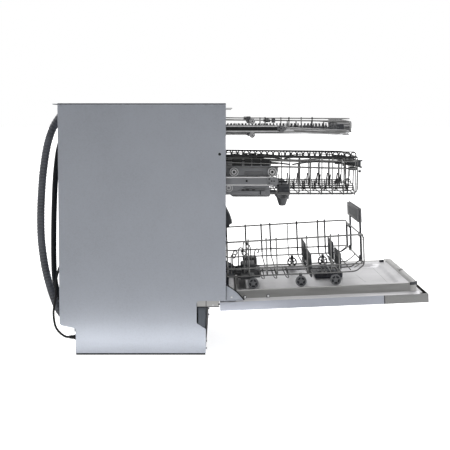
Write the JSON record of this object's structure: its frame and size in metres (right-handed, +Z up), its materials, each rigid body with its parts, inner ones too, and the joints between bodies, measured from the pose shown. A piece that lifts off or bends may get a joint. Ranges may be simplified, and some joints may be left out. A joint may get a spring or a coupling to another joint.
{
  "type": "built-in dishwasher",
  "caption": "Under-counter dishwasher with its drop-down door open, telescopic racks and cutlery tray drawn out, spray arms inside, hoses and mains lead behind.",
  "frame": {"origin": "on the floor under the centre of the cabinet, on the base tray's underside", "axes": "+Z up, -Y towards the person who opens the door, +X to that person's right"},
  "size_m": [0.598, 1.2803, 0.815],
  "materials": {
    "galvanised": "galvanised sheet steel, matt with a fine spangle",
    "door_paint": "blue-grey coated sheet",
    "brushed": "brushed stainless steel",
    "stainless": "satin stainless sheet",
    "chrome": "bright rail",
    "wire": "coated steel wire",
    "dark_plastic": "moulded dark grey plastic",
    "grey_plastic": "moulded mid grey plastic",
    "black_plastic": "moulded black plastic",
    "rubber": "soft black rubber",
    "motor": "lacquered motor housing"
  },
  "bodies": {
    "cabinet": {"base_tray": "black_plastic", "side_panel_left": "galvanised", "side_panel_right": "galvanised", "top_panel": "galvanised", "rear_panel": "galvanised", "plinth_panel": "dark_plastic", "worktop_strip": "stainless", "tub": "stainless", "door_seal": "rubber", "sump": "dark_plastic", "circulation_pump": "motor", "drain_pump": "motor", "water_softener": "grey_plastic", "supply_pipe": "grey_plastic", "drain_hose": "dark_plastic", "inlet_hose": "rubber", "inlet_valve": "grey_plastic", "mains_lead": "black_plastic", "mains_gland": "black_plastic", "mains_plug": "black_plastic"},
    "front_foot_left": {"front_foot_left": "dark_plastic"},
    "front_foot_right": {"front_foot_right": "dark_plastic"},
    "rear_foot": {"rear_foot": "dark_plastic"},
    "filter": {"filter": "grey_plastic"},
    "salt_cap": {"salt_cap": "dark_plastic"},
    "lower_spray_arm": {"lower_spray_arm": "grey_plastic"},
    "ceiling_spray_arm": {"ceiling_spray_arm": "grey_plastic"},
    "door": {"door_outer_panel": "door_paint", "door_inner_panel": "stainless", "control_fascia": "brushed", "detergent_dispenser": "dark_plastic", "hinge_arm_left": "galvanised", "hinge_arm_right": "galvanised", "door_latch": "dark_plastic"},
    "power_button": {"power_button": "stainless"},
    "start_button": {"start_button": "stainless"},
    "dispenser_lid": {"dispenser_lid": "grey_plastic"},
    "rinse_aid_cap": {"rinse_aid_cap": "grey_plastic"},
    "cutlery_tray": {"cutlery_tray": "wire", "tray_grip": "grey_plastic"},
    "tray_rails": {"tray_rail_left": "chrome", "tray_rail_right": "chrome"},
    "upper_basket": {"upper_basket": "wire", "upper_grip": "dark_plastic", "upper_carrier_left": "dark_plastic", "upper_carrier_right": "dark_plastic", "upper_feed_pipe": "dark_plastic"},
    "upper_rails": {"upper_rail_left": "chrome", "upper_rail_right": "chrome"},
    "middle_spray_arm": {"middle_spray_arm": "grey_plastic"},
    "lower_basket": {"lower_basket": "wire", "lower_handle": "grey_plastic"},
    "tine_row_front": {"tine_row_front": "dark_plastic"},
    "tine_row_rear": {"tine_row_rear": "dark_plastic"},
    "wheel_left_1": {"wheel_left_1": "dark_plastic"},
    "wheel_left_2": {"wheel_left_2": "dark_plastic"},
    "wheel_left_3": {"wheel_left_3": "dark_plastic"},
    "wheel_right_1": {"wheel_right_1": "dark_plastic"},
    "wheel_right_2": {"wheel_right_2": "dark_plastic"},
    "wheel_right_3": {"wheel_right_3": "dark_plastic"}
  },
  "joints": [
    {"name": "door_hinge", "type": "hinge", "parent": "cabinet", "child": "door", "pos_m": [0, -0.277, 0.165], "axis": [1, 0, 0], "range_deg": [0, 2.4]},
    {"name": "tray_slide", "type": "slide", "parent": "cabinet", "child": "cutlery_tray", "axis": [0, 1, 0], "range_m": [0, 0.424]},
    {"name": "tray_rail_slide", "type": "slide", "parent": "cabinet", "child": "tray_rails", "axis": [0, 1, 0], "range_m": [0, 0.212]},
    {"name": "upper_basket_slide", "type": "slide", "parent": "cabinet", "child": "upper_basket", "axis": [0, 1, 0], "range_m": [0, 0.454]},
    {"name": "upper_rail_slide", "type": "slide", "parent": "cabinet", "child": "upper_rails", "axis": [0, 1, 0], "range_m": [0, 0.227]},
    {"name": "lower_basket_slide", "type": "slide", "parent": "cabinet", "child": "lower_basket", "axis": [0, 0.9991, -0.0427], "range_m": [0, 0.456]},
    {"name": "wheel_left_1_roll", "type": "hinge", "parent": "lower_basket", "child": "wheel_left_1", "pos_m": [-0.234, -0.35953, 0.22458], "axis": [1, 0, 0], "continuous": true},
    {"name": "wheel_left_2_roll", "type": "hinge", "parent": "lower_basket", "child": "wheel_left_2", "pos_m": [-0.234, -0.51738, 0.23134], "axis": [1, 0, 0], "continuous": true},
    {"name": "wheel_left_3_roll", "type": "hinge", "parent": "lower_basket", "child": "wheel_left_3", "pos_m": [-0.234, -0.63128, 0.23621], "axis": [1, 0, 0], "continuous": true},
    {"name": "wheel_right_1_roll", "type": "hinge", "parent": "lower_basket", "child": "wheel_right_1", "pos_m": [0.234, -0.35953, 0.22458], "axis": [1, 0, 0], "continuous": true},
    {"name": "wheel_right_2_roll", "type": "hinge", "parent": "lower_basket", "child": "wheel_right_2", "pos_m": [0.234, -0.51738, 0.23134], "axis": [1, 0, 0], "continuous": true},
    {"name": "wheel_right_3_roll", "type": "hinge", "parent": "lower_basket", "child": "wheel_right_3", "pos_m": [0.234, -0.63128, 0.23621], "axis": [1, 0, 0], "continuous": true},
    {"name": "tine_row_front_fold", "type": "hinge", "parent": "lower_basket", "child": "tine_row_front", "pos_m": [0, -0.65091, 0.26868], "axis": [-1, 0, 0], "range_deg": [0, 88]},
    {"name": "tine_row_rear_fold", "type": "hinge", "parent": "lower_basket", "child": "tine_row_rear", "pos_m": [0, -0.553, 0.26449], "axis": [-1, 0, 0], "range_deg": [0, 88]},
    {"name": "middle_spray_arm_spin", "type": "hinge", "parent": "upper_basket", "child": "middle_spray_arm", "pos_m": [0, -0.467, 0.5063], "axis": [0, 0, 1], "continuous": true},
    {"name": "lower_spray_arm_spin", "type": "hinge", "parent": "cabinet", "child": "lower_spray_arm", "pos_m": [0, -0.025, 0.1873], "axis": [0, 0, 1], "continuous": true},
    {"name": "ceiling_spray_arm_spin", "type": "hinge", "parent": "cabinet", "child": "ceiling_spray_arm", "pos_m": [0, -0.025, 0.789], "axis": [0, 0, 1], "continuous": true},
    {"name": "filter_turn", "type": "hinge", "parent": "cabinet", "child": "filter", "pos_m": [0.11, -0.025, 0.165], "axis": [0, 0, 1], "range_deg": [0, 90]},
    {"name": "salt_cap_turn", "type": "hinge", "parent": "cabinet", "child": "salt_cap", "pos_m": [-0.15, -0.025, 0.165], "axis": [0, 0, 1], "range_deg": [0, 540]},
    {"name": "rinse_aid_cap_turn", "type": "hinge", "parent": "door", "child": "rinse_aid_cap", "pos_m": [0.16, -0.63313, 0.21627], "axis": [0, 0.0427, 0.9991], "range_deg": [0, 90]},
    {"name": "dispenser_lid_slide", "type": "slide", "parent": "door", "child": "dispenser_lid", "axis": [0, 0.9991, -0.0427], "range_m": [0, 0.068]},
    {"name": "power_button_press", "type": "slide", "parent": "door", "child": "power_button", "axis": [0, 0.0427, 0.9991], "range_m": [0, 0.003], "stiffness_N_per_m": 300, "springref_m": -0.002},
    {"name": "start_button_press", "type": "slide", "parent": "door", "child": "start_button", "axis": [0, 0.0427, 0.9991], "range_m": [0, 0.003], "stiffness_N_per_m": 300, "springref_m": -0.002},
    {"name": "front_foot_left_height", "type": "slide", "parent": "cabinet", "child": "front_foot_left", "axis": [0, 0, -1], "range_m": [0, 0.045]},
    {"name": "front_foot_right_height", "type": "slide", "parent": "cabinet", "child": "front_foot_right", "axis": [0, 0, -1], "range_m": [0, 0.045]},
    {"name": "rear_foot_height", "type": "slide", "parent": "cabinet", "child": "rear_foot", "axis": [0, 0, -1], "range_m": [0, 0.045]}
  ],
  "couplings": [
    {"joint": "tray_rail_slide", "follows": "tray_slide", "ratio": 0.5},
    {"joint": "upper_rail_slide", "follows": "upper_basket_slide", "ratio": 0.5},
    {"joint": "wheel_left_1_roll", "follows": "lower_basket_slide", "rad_per_m": -55.556},
    {"joint": "wheel_left_2_roll", "follows": "lower_basket_slide", "rad_per_m": -55.556},
    {"joint": "wheel_left_3_roll", "follows": "lower_basket_slide", "rad_per_m": -55.556},
    {"joint": "wheel_right_1_roll", "follows": "lower_basket_slide", "rad_per_m": -55.556},
    {"joint": "wheel_right_2_roll", "follows": "lower_basket_slide", "rad_per_m": -55.556},
    {"joint": "wheel_right_3_roll", "follows": "lower_basket_slide", "rad_per_m": -55.556}
  ]
}
